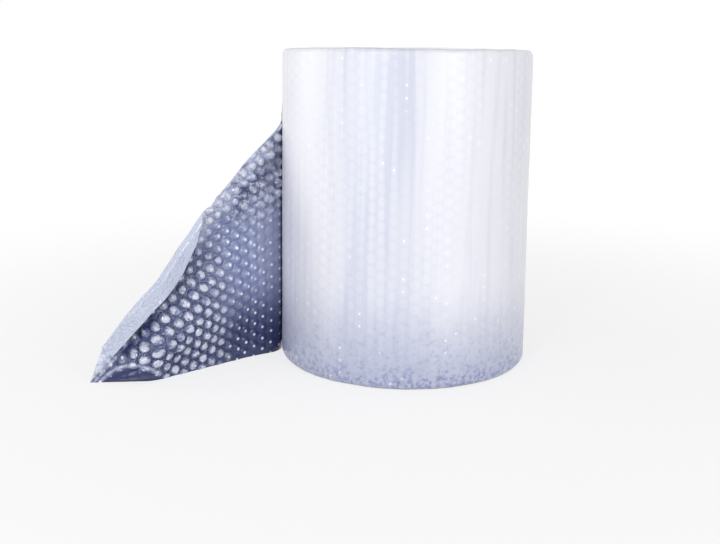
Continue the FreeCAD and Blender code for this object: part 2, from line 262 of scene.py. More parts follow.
def wound_mesh(sizes):
    mesh = bmesh.new()
    uv = mesh.loops.layers.uv.new("film")
    deep = mesh.verts.layers.float.new("deep")
    first = -math.ceil((WOUND + RAMP) * STEPS / FULL)
    column = sizes.bubble_pitch * math.sqrt(3) / 2
    place = {}
    across = {}

    def end_row(k, end):
        """Points across one turn at one end, end 1 for the top and 0 for the base."""
        angle = k * FULL / STEPS
        outer = wall(max(angle, -WOUND - RAMP)) - bend(angle, 0.0)
        inner = wall(angle - FULL) if k - STEPS >= first else HOLE
        plane = WEB_WIDTH if end else 0.0
        inward = -1 if end else 1
        s = film_length(angle)
        row = []
        for j, (share, back) in enumerate(TURN_SECTION):
            radius = outer + (inner - outer) * share
            lumps = 0.5 + 0.5 * math.cos(FULL * s / column + (math.pi if j > 3 else 0))
            lift = slack(angle, end, sizes) if end else abs(slack(angle, end, sizes))
            depth = GAP_DEPTH * back * (0.55 + 0.45 * lumps) * min(1.0, (outer - inner) / PITCH)
            up = plane + (lift if end else lift + CLEAR_OF_FLOOR) + inward * depth
            vert = mesh.verts.new(turned(radius, angle, up))
            # how deep the point lies in the gap between turns, which the edges' material darkens as painted shade
            vert[deep] = back * (0.6 + 0.4 * lumps)
            place[vert] = (s, share * PITCH)
            row.append(vert)
        return row

    def face(corners, places, material):
        try:
            made = mesh.faces.new(corners)
        except ValueError:
            return
        made.material_index = material
        for loop, p in zip(made.loops, places):
            loop[uv].uv = p

    for end in (0, 1):
        rows = {k: end_row(k, end) for k in range(first, 1)}
        bore = [rows[first][0]]
        for k in range(first + 1, first + STEPS):
            angle = k * FULL / STEPS
            up = WEB_WIDTH - BORE_INSETS[1] if end else BORE_INSETS[0]
            vert = mesh.verts.new(turned(HOLE, angle, up))
            place[vert] = (film_length(angle), PITCH)
            bore.append(vert)
        across[end] = (rows, bore)
        for k in range(first, 0):
            for j in range(len(TURN_SECTION)):
                corners = []
                for kk, jj in ((k, j), (k + 1, j), (k + 1, j + 1), (k, j + 1)):
                    if jj < len(TURN_SECTION):
                        corners.append(rows[kk][jj])
                    elif kk - STEPS >= first:
                        corners.append(rows[kk - STEPS][0])
                    else:
                        corners.append(bore[(kk - first) % STEPS])
                face(corners, [place[v] for v in corners], 1)

    # outer wall
    low, high = across[0][0], across[1][0]
    columns = {}
    for k in range(-STEPS, 1):
        angle = k * FULL / STEPS
        bottom, top = low[k][0], high[k][0]
        column_verts = [bottom]
        for share in WALL_ROWS[1:-1]:
            up = bottom.co.z + (top.co.z - bottom.co.z) * share
            near_end = min(up, WEB_WIDTH - up)
            s = film_length(angle)
            soft = 0.0007 * noise.noise(Vector((s * 14, up * 5, 0.3)))
            soft += 0.0005 * noise.noise(Vector((s * 45, up * 12, 2.3)))
            soft *= smooth(abs(angle), 0.0, 0.15) * smooth(FULL - abs(angle), 0.0, 0.15)
            soft = soft * smooth(near_end, 0.0, 0.02) - bend(angle, min(up - bottom.co.z, top.co.z - up))
            column_verts.append(mesh.verts.new(turned(wall(angle) + soft, angle, up)))
        column_verts.append(top)
        columns[k] = column_verts
    for k in range(-STEPS, 0):
        s0, s1 = film_length(k * FULL / STEPS), film_length((k + 1) * FULL / STEPS)
        for r in range(len(WALL_ROWS) - 1):
            a, b = columns[k][r], columns[k + 1][r]
            c, d = columns[k + 1][r + 1], columns[k][r + 1]
            face([a, b, c, d], [(s0, a.co.z), (s1, b.co.z), (s1, c.co.z), (s0, d.co.z)], 0)

    # step behind the last turn's end, and the hole's wall
    steps = [[a, b] for a, b in zip(low[0], high[0])] + [columns[-STEPS]]
    steps[0] = columns[0]
    for near, far in zip(steps, steps[1:]):
        corners = near[::-1] + far
        face(corners, [(0, 0)] * len(corners), 1)
    bore_low, bore_high = across[0][1], across[1][1]
    for k in range(STEPS):
        n = (k + 1) % STEPS
        s0, s1 = k * FULL / STEPS * HOLE, (k + 1) * FULL / STEPS * HOLE
        a, b, c, d = bore_low[k], bore_low[n], bore_high[n], bore_high[k]
        face([b, a, d, c], [(s1, b.co.z), (s0, a.co.z), (s0, d.co.z), (s1, c.co.z)], 2)
    bmesh.ops.remove_doubles(mesh, verts=mesh.verts, dist=TINY)
    bmesh.ops.recalc_face_normals(mesh, faces=mesh.faces)
    return mesh


# ---------------------------------------------------------------- loose end


def route(along):
    """Point and heading of the web's flat side, at a distance along the floor from the leaving place."""
    heading = LEAVE + math.pi / 2
    x, y = (OUTER - SUNK) * math.cos(LEAVE), (OUTER - SUNK) * math.sin(LEAVE)
    for radius, degrees in ROUTE:
        reach = min(along, stretch(radius, degrees))
        if not degrees or reach < 0:
            x, y = x + reach * math.cos(heading), y + reach * math.sin(heading)
        else:
            side = math.copysign(1, degrees)
            cx, cy = x - side * radius * math.sin(heading), y + side * radius * math.cos(heading)
            heading += side * reach / radius
            x, y = cx + side * radius * math.sin(heading), cy - side * radius * math.cos(heading)
        along -= reach
        if along <= 0:
            break
    return x, y, heading


# The folds that fan out from the tip: height, then their middle and half their spread in degrees
FAN_RIDGE = (0.010, 26, 22)
FAN_VALLEY = (0.007, 45, 15)
FAN_LOBE = (0.005, 9, 9)
# Distances from the tip at which the fan is full, and over which it fades, and the lobe's middle and half its length
FAN_FULL, FAN_FADE = 0.060, (0.110, 0.120)
LOBE_REACH = (0.045, 0.040)


def fold(along, up):
    """How far the folds that fan out from the tip bring the web to the front."""
    back, up = END_LENGTH - along, max(up, 0.0)
    away = math.hypot(back, up)
    lift = math.degrees(math.atan2(up, back))
    near = min(1.0, away / FAN_FULL) * window(max(away, FAN_FADE[0]), *FAN_FADE)
    lobe = FAN_LOBE[0] * window(lift, *FAN_LOBE[1:]) * window(away, *LOBE_REACH)
    ridge = FAN_RIDGE[0] * window(lift, *FAN_RIDGE[1:])
    valley = FAN_VALLEY[0] * window(lift, *FAN_VALLEY[1:])
    return near * (ridge - valley) + lobe


def creases(along, up, sizes):
    """Small creases of the film, strongest along the slanting edge and at the tip."""
    edge = smooth(beyond_slant(along, up), -0.075, -0.005)
    tip = smooth(along, 0.120, 0.220)
    strength = sizes.crumple * (0.15 + 0.85 * max(edge, tip)) * smooth(along, 0.004, 0.030)
    strength *= smooth(up, -0.001, 0.012)
    p = Vector((along * 34, up * 34, 0.7))
    sharp = 1 - 2 * abs(noise.noise(p + Vector((0, 0, 5.1))))
    return strength * (noise.noise(p * 0.6) + 0.7 * sharp - 0.35)


def beyond_slant(along, up):
    """Distance beyond the slanting edge, both its stretches, negative on the web's side."""
    upper = (UPPER_SLANT * along + up - WEB_WIDTH) / math.hypot(UPPER_SLANT, 1)
    return max(beyond_fold(along, up), upper)


def beyond_fold(along, up):
    """Distance beyond the slanting edge's lower stretch, where the film curls over."""
    return (SLANT * along + up - TIP_HEIGHT - SLANT * TIP_ALONG) / SLANT_LENGTH


def tip_gap(along, up):
    """Distance from the tip's edge."""
    return (TIP_HEIGHT * (END_LENGTH - along) - TIP_BACK * up) / math.hypot(TIP_HEIGHT, TIP_BACK)


def curl_radius(foot, sizes):
    """Radius of the curl over a foot on the slanting edge: it tightens towards the tip."""
    return sizes.curl_radius * (0.30 + 0.70 * smooth(TIP_ALONG - foot, 0.0, CURL_TIGHTENS))


def curl(foot, sizes):
    """Width of the film beyond a foot on the slanting edge."""
    grown = math.sin(math.pi / 2 * min(1.0, max(0.0, (foot - CURL_START) / CURL_GROWTH)))
    widest = sizes.curl_width - math.pi * (sizes.curl_radius - curl_radius(foot, sizes))
    return (CURL_LEAST + (widest - CURL_LEAST) * grown) * smooth(foot, CURL_START - 0.004, CURL_START + 0.012)


# Where the film hangs slack against the roll: middle and half its length along the web, and how far it stands off
HUG_REACH, HUG_OFF = (0.070, 0.045), 0.0042
# How far the film's upper part sags, all along and where it hangs slack
SAG, HUG_SAG = 0.0020, 0.0025


def place_film(along, up, off, sizes):
    """Point of the loose end in space: off is measured from its flat side towards its bubbles."""
    over = beyond_fold(along, up)
    if over > 0 and along > CURL_START - 0.02:
        foot_along = along - over * SLANT / SLANT_LENGTH
        foot_up = up - over / SLANT_LENGTH
        x, y, heading = route(foot_along)
        bent = curl_radius(foot_along, sizes)
        turn = min(over / bent, math.pi)
        rest = over - turn * bent
        # it lies on whatever the web does under it
        under = foot_along - rest * SLANT / SLANT_LENGTH, foot_up - rest / SLANT_LENGTH
        lift = max(
            fold(foot_along, foot_up) + creases(foot_along, foot_up, sizes),
            fold(*under) + creases(*under, sizes),
        ) + bent
        front = Vector((-math.sin(heading), math.cos(heading), 0))
        out = Vector((math.cos(heading) * SLANT, math.sin(heading) * SLANT, 1)) / SLANT_LENGTH
        radius = bent - min(off, bent * 0.9)
        wave = 0.0012 * noise.noise(Vector((along * 45, up * 45, 9.0))) * min(1.0, rest / 0.006)
        middle = Vector((x, y, foot_up)) + front * (lift + wave)
        return middle + out * (radius * math.sin(turn) - rest) - front * (radius * math.cos(turn))
    x, y, heading = route(along)
    front = Vector((-math.sin(heading), math.cos(heading), 0))
    # the film hangs slack against the roll just before it turns away
    hug = window(along, *HUG_REACH)
    off += fold(along, up) + creases(along, up, sizes) + HUG_OFF * hug
    up -= (SAG + HUG_SAG * hug) * smooth(up, 0.120, 0.200) * smooth(along, 0.0, 0.050)
    return Vector((x, y, up)) + front * off


# Rings of points round a bubble's top: share of its radius, and share of its height
DOME_RINGS = [(0.42, 0.95), (0.70, 0.72), (0.90, 0.32), (1.0, 0.08)]
DOME_STEPS = 12
# Share of a bubble's height that its dents may take or add
DENT = 0.40


def film_outline(mesh):
    """Cuts the flat lattice along the straight edges of the web."""
    cuts = [
        ((-TUCKED, 0, 0), (-1, 0, 0), lambda m: True),
        ((0, 0, 0), (0, -1, 0), lambda m: True),
        ((0, WEB_WIDTH, 0), (0, 1, 0), lambda m: True),
        # the slanting edge as far as the curl, and the tip below it
        ((0, WEB_WIDTH, 0), (UPPER_SLANT, 1, 0), lambda m: m.x < CURL_START),
        ((BROW[0], BROW[1], 0), (SLANT, 1, 0), lambda m: m.x < CURL_START),
        ((END_LENGTH, 0, 0), (TIP_HEIGHT, TIP_BACK, 0), lambda m: beyond_fold(m.x, m.y) < 0),
    ]
    for point, normal, reached in cuts:
        faces = [f for f in mesh.faces if reached(f.calc_center_median())]
        edges = {e for f in faces for e in f.edges}
        verts = {v for f in faces for v in f.verts}
        bmesh.ops.bisect_plane(
            mesh, geom=faces + list(edges) + list(verts), dist=TINY,
            plane_co=point, plane_no=Vector(normal).normalized(), clear_outer=True,
        )


def trim_strip(mesh, sizes):
    """Takes away the film beyond the curled strip and draws the last points in to its edge."""
    drawn = {}
    for v in mesh.verts:
        over = beyond_fold(v.co.x, v.co.y)
        foot = v.co.x - over * SLANT / SLANT_LENGTH
        if v.co.x < CURL_START - 0.004 or over <= TINY:
            continue
        kept_foot = min(foot, TIP_ALONG)
        kept = min(over, curl(kept_foot, sizes))
        if kept < over - TINY or kept_foot < foot - TINY:
            along = kept_foot + kept * SLANT / SLANT_LENGTH
            drawn[v] = (along, kept * SLANT_LENGTH + TIP_HEIGHT + SLANT * (TIP_ALONG - along))
    gone = [f for f in mesh.faces if all(v in drawn for v in f.verts)]
    bmesh.ops.delete(mesh, geom=gone, context="FACES")
    bmesh.ops.delete(mesh, geom=[v for v in mesh.verts if not v.link_faces], context="VERTS")
    for v, (along, up) in drawn.items():
        if v.is_valid:
            v.co.x, v.co.y = along, up


# The fold on the floor at the tip, darkened with painted shade: its middle along the web, half its length, and its
# height
TIP_ARCH = (0.2290, 0.0270, 0.0145)
# Names of the single film's tones: painted shade, painted light, share of painted highlights on the caps, rumpled
# film with patches of painted light and shade, and the blend into the roll
TONES = ("deep", "pale", "clear", "rumple", "near")


def tip_arch(along, up):
    """Height of the tip fold's upper line, the edge of its painted shade, above a place on the web, negative outside
    the fold.
    """
    return TIP_ARCH[2] * (1 - ((along - TIP_ARCH[0]) / TIP_ARCH[1]) ** 2) - up


def tone(along, up):
    """Tones of the single film at a place: deep blue painted shade, paler painted light, painted highlights on the
    caps, rumpled, and near the roll.
    """
    crest, edge = -beyond_slant(along, up), -beyond_fold(along, up)
    mottle = noise.noise(Vector((along * 30, up * 30, 3.3)))
    patch = noise.noise(Vector((along * 75, up * 75, 8.1)))
    # painted shade: deep blue low down, between the bubbles in the middle, in the curled strip's shadow along the
    # valley and in the tip fold's crescent
    low = smooth(up + 0.012 * mottle, 0.085, 0.015)
    middle = smooth(along + 0.010 * mottle, 0.122, 0.162) * smooth(up, 0.150, 0.090)
    valley = window(edge + 0.003 * patch, 0.0165, 0.0105) * smooth(along, 0.145, 0.180)
    arch = tip_arch(along, up)
    crescent = smooth(arch, -0.002, 0.001)
    # painted highlights along a ridge of the tip fold and along a line low beside the curled strip
    ridge = max(
        window(arch, -0.0030, 0.0022) * smooth(along, 0.200, 0.212),
        window(edge, 0.0145, 0.0016) * smooth(up, 0.045, 0.020),
    )
    # the crumpled upper film, with painted shade in patches and in a band behind the crest
    crumpled = smooth(up + 0.03 * mottle + 0.35 * (along - 0.10), 0.120, 0.160)
    behind = window(crest + 0.004 * patch, 0.023, 0.014) * crumpled
    deep = max(0.95 * low, 0.85 * middle, valley, crescent, 0.62 * behind + crumpled * (0.20 + 0.7 * patch))
    deep *= 1 - 0.8 * ridge
    # painted light: paler along the crest where the film rounds over, on the ridges, and on the upper film near the
    # roll
    ledge = smooth(crest + 0.005 * patch, 0.019, 0.008)
    ledge *= smooth(along, CURL_START + 0.030, CURL_START + 0.010)
    near = smooth(along, 0.066, 0.008)
    pale = max(ledge, ridge, 0.35 * smooth(along, 0.120, 0.085) * smooth(up, 0.040, 0.100))
    # share of painted highlights on the bubbles' caps
    clear = max(0.95 * middle, 0.4 * crumpled, 0.7 * ledge) * (0.85 + 0.6 * patch)
    clear *= (1 - 0.9 * valley) * (1 - crescent) * (1 - near) * (1 - 0.7 * behind)
    deep = min(1.0, max(0.0, deep)) * (1 - 0.85 * ledge)
    rumple = crumpled * (1 - 0.25 * ledge) * (1 - 0.4 * behind) * (1 - near)
    return deep, pale, min(1.0, max(0.0, clear)), rumple, near


def loose_mesh(sizes):
    """The loose end's single layer: bubbles in front, flat at the back, cut out flat and then laid out."""
    mesh = bmesh.new()
    pitch, radius = sizes.bubble_pitch, sizes.bubble_width / 2
    column, corner = pitch * math.sqrt(3) / 2, pitch / math.sqrt(3)
    film = sizes.film_thickness
    shared = {}
    lot = mesh.verts.layers.float.new("lot")
    dome = mesh.verts.layers.float.new("dome")

    def vert(x, y, z):
        key = (round(x, 6), round(y, 6), round(z, 6))
        if key not in shared:
            shared[key] = mesh.verts.new((x, y, z))
        return shared[key]

    for i in range(-2, int(END_LENGTH / column) + 3):
        for j in range(-1, int(WEB_WIDTH / pitch) + 2):
            cx, cy = (i + 0.5) * column, (j + 0.5 * (i % 2)) * pitch
            over = beyond_slant(cx, cy)
            if over > sizes.curl_width + pitch or (over > pitch and cx < CURL_START - 0.01):
                continue
            # the bubbles are pressed flat near the roll and stand out where the film is crumpled
            proud = max(
                smooth(cx + 0.012 * noise.noise(Vector((cx * 60, cy * 60, 9.7))), 0.085, 0.138),
                smooth(cy + 0.35 * (cx - 0.10), 0.125, 0.165),
            )
            size = (1 + 0.45 * noise.noise(Vector((cx * 120, cy * 120, 1.7)))) * (0.26 + 0.74 * proud)
            size *= 0.2 + 0.8 * smooth(tip_gap(cx, cy), 0.004, 0.016)
            size *= 0.3 + 0.7 * smooth(cy, 0.001, 0.013)
            size *= 0.1 + 0.9 * smooth(tip_arch(cx, cy), 0.002, -0.005)
            chance = 0.5 + 0.5 * noise.noise(Vector((cx * 331, cy * 331, 6.2)))
            lean = noise.noise_vector(Vector((cx * 110, cy * 110, 4.4))) * (0.0008 + 0.0018 * proud)
            rings = []
            for share, height in DOME_RINGS:
                ring = []
                for n in range(DOME_STEPS):
                    x = cx + lean.x * height + radius * share * math.cos(n * FULL / DOME_STEPS)
                    y = cy + lean.y * height + radius * share * math.sin(n * FULL / DOME_STEPS)
                    dent = 1 + DENT * proud * noise.noise(Vector((x * 430, y * 430, 6.6)))
                    ring.append(vert(x, y, film + sizes.bubble_height * height * size * dent))
                    ring[-1][dome] = height
                rings.append(ring)
            edge = []
            for n in range(DOME_STEPS):
                reach = corner if n % 2 == 0 else pitch / 2
                a = n * FULL / DOME_STEPS
                edge.append(vert(cx + reach * math.cos(a), cy + reach * math.sin(a), film))
            rings.append(edge)
            top = vert(cx + lean.x, cy + lean.y, film + sizes.bubble_height * size)
            top[dome] = 1.0
            for v in rings[0] + rings[1] + rings[2] + rings[3] + [top]:
                v[lot] = chance
            for n in range(DOME_STEPS):
                m = (n + 1) % DOME_STEPS
                mesh.faces.new((top, rings[0][n], rings[0][m]))
                for inner, outer in zip(rings, rings[1:]):
                    mesh.faces.new((inner[n], outer[n], outer[m], inner[m]))
    film_outline(mesh)
    trim_strip(mesh, sizes)

    # flat back, and the cut edge round both
    uv = mesh.loops.layers.uv.new("film")
    curled = mesh.verts.layers.float.new("curled")
    flat_side = mesh.verts.layers.float.new("flat_side")
    tones = [mesh.verts.layers.float.new(name) for name in TONES]
    front = list(mesh.faces)
    rim = [e for e in mesh.edges if len(e.link_faces) == 1]
    flat_area = 0.0
    backs = {}
    for v in list(mesh.verts):
        b = mesh.verts.new((v.co.x, v.co.y, 0.0))
        backs[v] = b
        b[flat_side] = 1.0
        over = beyond_fold(v.co.x, v.co.y)
        # the strip goes on to the very tip, where it lies flat on the web
        strip = smooth(over, -0.0130, -0.0112) * smooth(v.co.x, TIP_ALONG - 0.013, TIP_ALONG - 0.010)
        if v.co.x > CURL_START - 0.02:
            strip = max(smooth(over, 0.0, 0.004), strip)
        # front and back take the tones, the single film's painted shade and painted light
        for w in (v, b):
            for layer, value in zip(tones, tone(w.co.x, w.co.y)):
                w[layer] = value
            w[curled] = strip
    for face in front:
        back = mesh.faces.new([backs[v] for v in reversed(face.verts)])
        flat_area += back.calc_area()
    for edge in rim:
        face = edge.link_faces[0]
        a, b = edge.verts
        loop = next(l for l in face.loops if l.vert in (a, b) and l.link_loop_next.vert in (a, b))
        a, b = loop.vert, loop.link_loop_next.vert
        mesh.faces.new((b, a, backs[a], backs[b]))
    for face in mesh.faces:
        face.smooth = True
        for loop in face.loops:
            loop[uv].uv = (loop.vert.co.x, loop.vert.co.y)
    for v in mesh.verts:
        v.co = place_film(v.co.x, v.co.y, v.co.z, sizes)
    for v in mesh.verts:
        v.co.z = max(v.co.z, 0.0)
    # laid out, the film is the mirror image of the lattice
    bmesh.ops.reverse_faces(mesh, faces=mesh.faces)
    return mesh, flat_area


# ---------------------------------------------------------------- materials


class Nodes:
    """Short way to add nodes to one material and join them."""

    def __init__(self, name):
        self.material = bpy.data.materials.new(name)
        self.material.use_nodes = True
        self.tree = self.material.node_tree
        self.tree.nodes.clear()

    def add(self, kind, settings=None, **inputs):
        made = self.tree.nodes.new("ShaderNode" + kind)
        for key, value in (settings or {}).items():
            setattr(made, key, value)
        for key, value in inputs.items():
            key = int(key[1:]) if key[0] == "i" and key[1:].isdigit() else key.replace("_", " ")
            self.set(made.inputs[key], value)
        return made

    def set(self, socket, value):
        if isinstance(value, bpy.types.NodeSocket):
            self.tree.links.new(value, socket)
        elif isinstance(value, bpy.types.Node):
            self.tree.links.new(value.outputs[0], socket)
        else:
            socket.default_value = value

    def math(self, operation, *values):
        made = self.add("Math", {"operation": operation})
        for k, value in enumerate(values):
            self.set(made.inputs[k], value)
        return made.outputs[0]

    def times(self, value, *others):
        for other in others:
            value = self.math("MULTIPLY", value, other)
        return value

    def rest(self, value):
        return self.math("SUBTRACT", 1.0, value)

    def vector(self, operation, *values):
        made = self.add("VectorMath", {"operation": operation})
        for k, value in enumerate(values):
            self.set(made.inputs[k], value)
        return made

    def ramp(self, value, low, high, kind="SMOOTHSTEP"):
        made = self.add("MapRange", {"interpolation_type": kind}, Value=value)
        self.set(made.inputs["From Min"], low)
        self.set(made.inputs["From Max"], high)
        return made.outputs[0]

    def mix(self, share, one, other):
        made = self.add("Mix", {"data_type": "RGBA"})
        self.set(made.inputs[0], share)
        self.set(made.inputs[6], one)
        self.set(made.inputs[7], other)
        return made.outputs[2]

    def noise(self, vector, scale, detail=3.0, rough=0.5):
        made = self.add("TexNoise", Vector=vector, Scale=scale, Detail=detail, Roughness=rough)
        return made.outputs[0]


def rgba(colour):
    return tuple(colour) + (1.0,)


def bubble_distance(nodes, place, pitch):
    """Distance from the nearest bubble's middle, on the film's own layout."""
    column = pitch * math.sqrt(3) / 2
    found = []
    for shift in ((0.5 * column, 0.0), (1.5 * column, 0.5 * pitch)):
        moved = nodes.vector("SUBTRACT", place, (shift[0], shift[1], 0.0))
        scaled = nodes.vector("DIVIDE", moved.outputs[0], (2 * column, pitch, 1.0))
        lifted = nodes.vector("ADD", scaled.outputs[0], (0.5, 0.5, 0.0))
        part = nodes.vector("FRACTION", lifted.outputs[0])
        centred = nodes.vector("SUBTRACT", part.outputs[0], (0.5, 0.5, 0.0))
        back = nodes.vector("MULTIPLY", centred.outputs[0], (2 * column, pitch, 0.0))
        found.append(nodes.vector("LENGTH", back.outputs[0]).outputs["Value"])
    return nodes.math("MINIMUM", *found)


# Film length of the painted shade on the last turn, where it looks greyer
SHADED_STRETCH = -0.543


def wound_colour(nodes, place, spot, sizes, colours):
    """The wound film's colour with its painted shade and glints, and where its bubbles are, from the film's own
    layout and the place in space.
    """
    away = bubble_distance(nodes, place, sizes.bubble_pitch)
    bubble = nodes.ramp(away, sizes.bubble_width * 0.50, sizes.bubble_width * 0.36)
    # painted shade between the bubbles and soft upright streaks, the bubble columns seen through the film; further
    # on, painted shade darkening the mottled lowest part
    parts = nodes.add("SeparateXYZ", Vector=place)
    cloud = nodes.noise(nodes.add("Mapping", Vector=place, Scale=(9, 1.2, 1)), 3.0, 3.0)
    streak = nodes.noise(nodes.add("Mapping", Vector=place, Scale=(60, 2.5, 1)), 2.2, 2.0)
    between = nodes.rest(bubble)
    shade = nodes.times(between, nodes.ramp(cloud, 0.35, 0.70), 0.22)
    shade = nodes.math("ADD", shade, nodes.times(nodes.ramp(streak, 0.45, 0.8), 0.45))
    # painted shade: a greyer stretch at the front, broken into beaded stripes along the bubble columns
    aside = nodes.math("ABSOLUTE", nodes.math("SUBTRACT", parts.outputs[0], SHADED_STRETCH))
    stretch_shade = nodes.ramp(aside, 0.052, 0.020)
    column = sizes.bubble_pitch * math.sqrt(3) / 2
    stripe = nodes.math("COSINE", nodes.times(parts.outputs[0], FULL / column))
    stripe = nodes.times(nodes.math("ADD", stripe, 1.6), nodes.ramp(streak, 0.25, 0.75), 0.18)
    shade = nodes.math("ADD", shade, nodes.times(stretch_shade, nodes.math("ADD", 0.47, stripe)))
    colour = nodes.mix(shade, rgba(colours.wound), rgba(colours.wound_shade))
    # painted shade, darkening the roll towards the floor along an uneven line
    mottle = nodes.noise(spot, 90.0, 3.0, 0.6)
    uneven = nodes.times(nodes.math("SUBTRACT", mottle, 0.5), 0.03)
    height = nodes.math("ADD", parts.outputs[1], uneven)
    colour = nodes.mix(nodes.times(nodes.ramp(height, 0.100, 0.0), 0.80), colour, rgba(colours.wound_low_shade))
    # painted glints: a few of the bubbles get a small white spot
    some = nodes.noise(nodes.add("Mapping", Vector=place, Scale=(53, 53, 1)), 1.0, 0.0)
    painted_sparkle = nodes.math("MULTIPLY", nodes.ramp(away, 0.0016, 0.0006), nodes.ramp(some, 0.60, 0.72))
    colour = nodes.mix(nodes.math("MULTIPLY", painted_sparkle, 0.8), colour, (0.98, 0.98, 1.0, 1.0))
    # painted shade in dark spots low on the roll, thicker along its lowest edge
    shade_spot_noise = nodes.noise(spot, 230.0, 3.0, 0.65)
    low_shade_spots = nodes.math("MULTIPLY", nodes.ramp(height, 0.080, 0.010), nodes.ramp(shade_spot_noise, 0.50, 0.66))
    colour = nodes.mix(nodes.math("MULTIPLY", low_shade_spots, 0.32), colour, rgba(colours.wound_rim_shade))
    rim = nodes.math("MULTIPLY", nodes.ramp(height, 0.024, 0.002), nodes.ramp(shade_spot_noise, 0.40, 0.62))
    colour = nodes.mix(nodes.math("MULTIPLY", rim, 0.75), colour, rgba(colours.wound_rim_shade))
    return colour, bubble


def wound_material(sizes, colours):
    nodes = Nodes("wound film")
    place = nodes.add("UVMap", {"uv_map": "film"}).outputs[0]
    spot = nodes.add("TexCoord").outputs["Object"]
    colour, bubble = wound_colour(nodes, place, spot, sizes, colours)
    fine = nodes.noise(spot, 160.0, 2.0)
    relief = nodes.math("ADD", nodes.math("MULTIPLY", bubble, 0.8), nodes.math("MULTIPLY", fine, 0.25))
    bump = nodes.add("Bump", Strength=0.25, Distance=0.0005, Height=relief)
    shader = nodes.add(
        "BsdfPrincipled", Base_Color=colour, Roughness=0.40, IOR=1.5, Normal=bump,
        Coat_Weight=0.35, Coat_Roughness=0.26,
        Subsurface_Weight=0.5, Subsurface_Radius=(1.0, 1.0, 1.0), Subsurface_Scale=0.02,
    )
    nodes.add("OutputMaterial", Surface=shader)
    return nodes.material


def edge_material(sizes, colours):
    nodes = Nodes("film edges")
    spot = nodes.add("TexCoord").outputs["Object"]
    deep = nodes.add("Attribute", {"attribute_name": "deep"}).outputs["Fac"]
    uneven = nodes.noise(spot, 120.0, 3.0)
    # painted shade, darker the deeper a point lies in the gap between two turns
    dark = nodes.math("MULTIPLY", nodes.ramp(deep, 0.15, 1.0), nodes.ramp(uneven, 0.1, 0.9, "LINEAR"))
    colour = nodes.mix(nodes.math("MULTIPLY", dark, 1.25), rgba(colours.wound), rgba(colours.edge_shade))
    bump = nodes.add("Bump", Strength=0.5, Distance=0.0008, Height=uneven)
    shader = nodes.add(
        "BsdfPrincipled", Base_Color=colour, Roughness=0.42, IOR=1.5, Normal=bump,
        Coat_Weight=0.3, Coat_Roughness=0.2,
    )
    nodes.add("OutputMaterial", Surface=shader)
    return nodes.material


